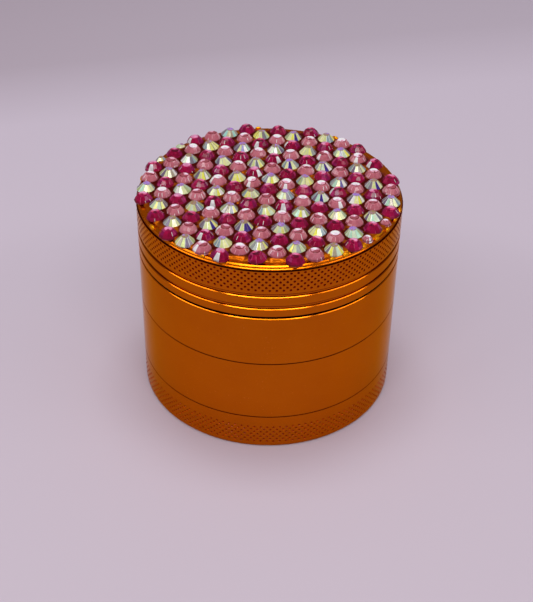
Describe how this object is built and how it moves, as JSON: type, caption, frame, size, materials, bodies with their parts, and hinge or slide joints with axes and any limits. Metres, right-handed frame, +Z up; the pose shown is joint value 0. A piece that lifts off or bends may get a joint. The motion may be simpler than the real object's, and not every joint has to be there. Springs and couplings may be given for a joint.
{
  "type": "hand herb grinder",
  "caption": "Round hand grinder in anodised aluminium: base, sieve chamber and toothed chamber screwed together, and a magnetic lid covered with flat-back crystals.",
  "frame": {"origin": "on the grinder's axis, at the underside of the base, where it stands on the table", "axes": "+Z up along the grinder's axis, +Y to the back"},
  "size_m": [0.0632, 0.0632, 0.0551],
  "materials": {
    "anodised_orange": "bright anodised, satin",
    "scraper_plastic": "moulded",
    "steel_mesh": "woven wire",
    "clamp_steel": "turned",
    "magnet_nickel": "nickel plated",
    "slip_plastic": "smooth",
    "fuchsia_glass": "faceted, foil backed",
    "rose_glass": "faceted, foil backed",
    "aurora_glass": "faceted, iridescent coating, foil backed",
    "clear_glue": "set glue"
  },
  "bodies": {
    "base": {"collection_base": "anodised_orange"},
    "scraper": {"scraper": "scraper_plastic"},
    "screen_ring": {"screen_clamp_ring": "clamp_steel"},
    "sieve_chamber": {"sieve_chamber": "anodised_orange", "sieve_screen": "steel_mesh"},
    "chamber_magnet": {"chamber_magnet": "magnet_nickel"},
    "grinding_chamber": {"grinding_chamber": "anodised_orange", "chamber_teeth": "anodised_orange", "slip_ring": "slip_plastic"},
    "lid_magnet": {"lid_magnet": "magnet_nickel"},
    "lid": {"lid": "anodised_orange", "lid_teeth": "anodised_orange", "fuchsia_stones": "fuchsia_glass", "rose_stones": "rose_glass", "crystal_stones": "aurora_glass", "small_rose_stones": "rose_glass", "small_crystal_stones": "aurora_glass", "stone_glue": "clear_glue"}
  },
  "joints": [
    {"name": "sieve_rise", "type": "slide", "parent": "base", "child": "screen_ring", "axis": [0, 0, 1], "range_m": [0, 0.018]},
    {"name": "sieve_turn", "type": "hinge", "parent": "screen_ring", "child": "sieve_chamber", "pos_m": [0, 0, 0.00945], "axis": [0, 0, 1], "range_deg": [0, 4320]},
    {"name": "chamber_rise", "type": "slide", "parent": "sieve_chamber", "child": "chamber_magnet", "axis": [0, 0, 1], "range_m": [0, 0.018]},
    {"name": "chamber_turn", "type": "hinge", "parent": "chamber_magnet", "child": "grinding_chamber", "pos_m": [0, 0, 0.0257], "axis": [0, 0, 1], "range_deg": [0, 4320]},
    {"name": "lid_lift", "type": "slide", "parent": "grinding_chamber", "child": "lid_magnet", "axis": [0, 0, 1], "range_m": [0, 0.03]},
    {"name": "lid_spin", "type": "hinge", "parent": "lid_magnet", "child": "lid", "pos_m": [0, 0, 0.03935], "axis": [0, 0, 1], "continuous": true},
    {"name": "scraper_lift", "type": "slide", "parent": "base", "child": "scraper", "axis": [0, 0, 1], "range_m": [0, 0.0035]}
  ],
  "couplings": [
    {"joint": "sieve_turn", "follows": "sieve_rise", "rad_per_m": 4188.8},
    {"joint": "chamber_turn", "follows": "chamber_rise", "rad_per_m": 4188.8}
  ]
}
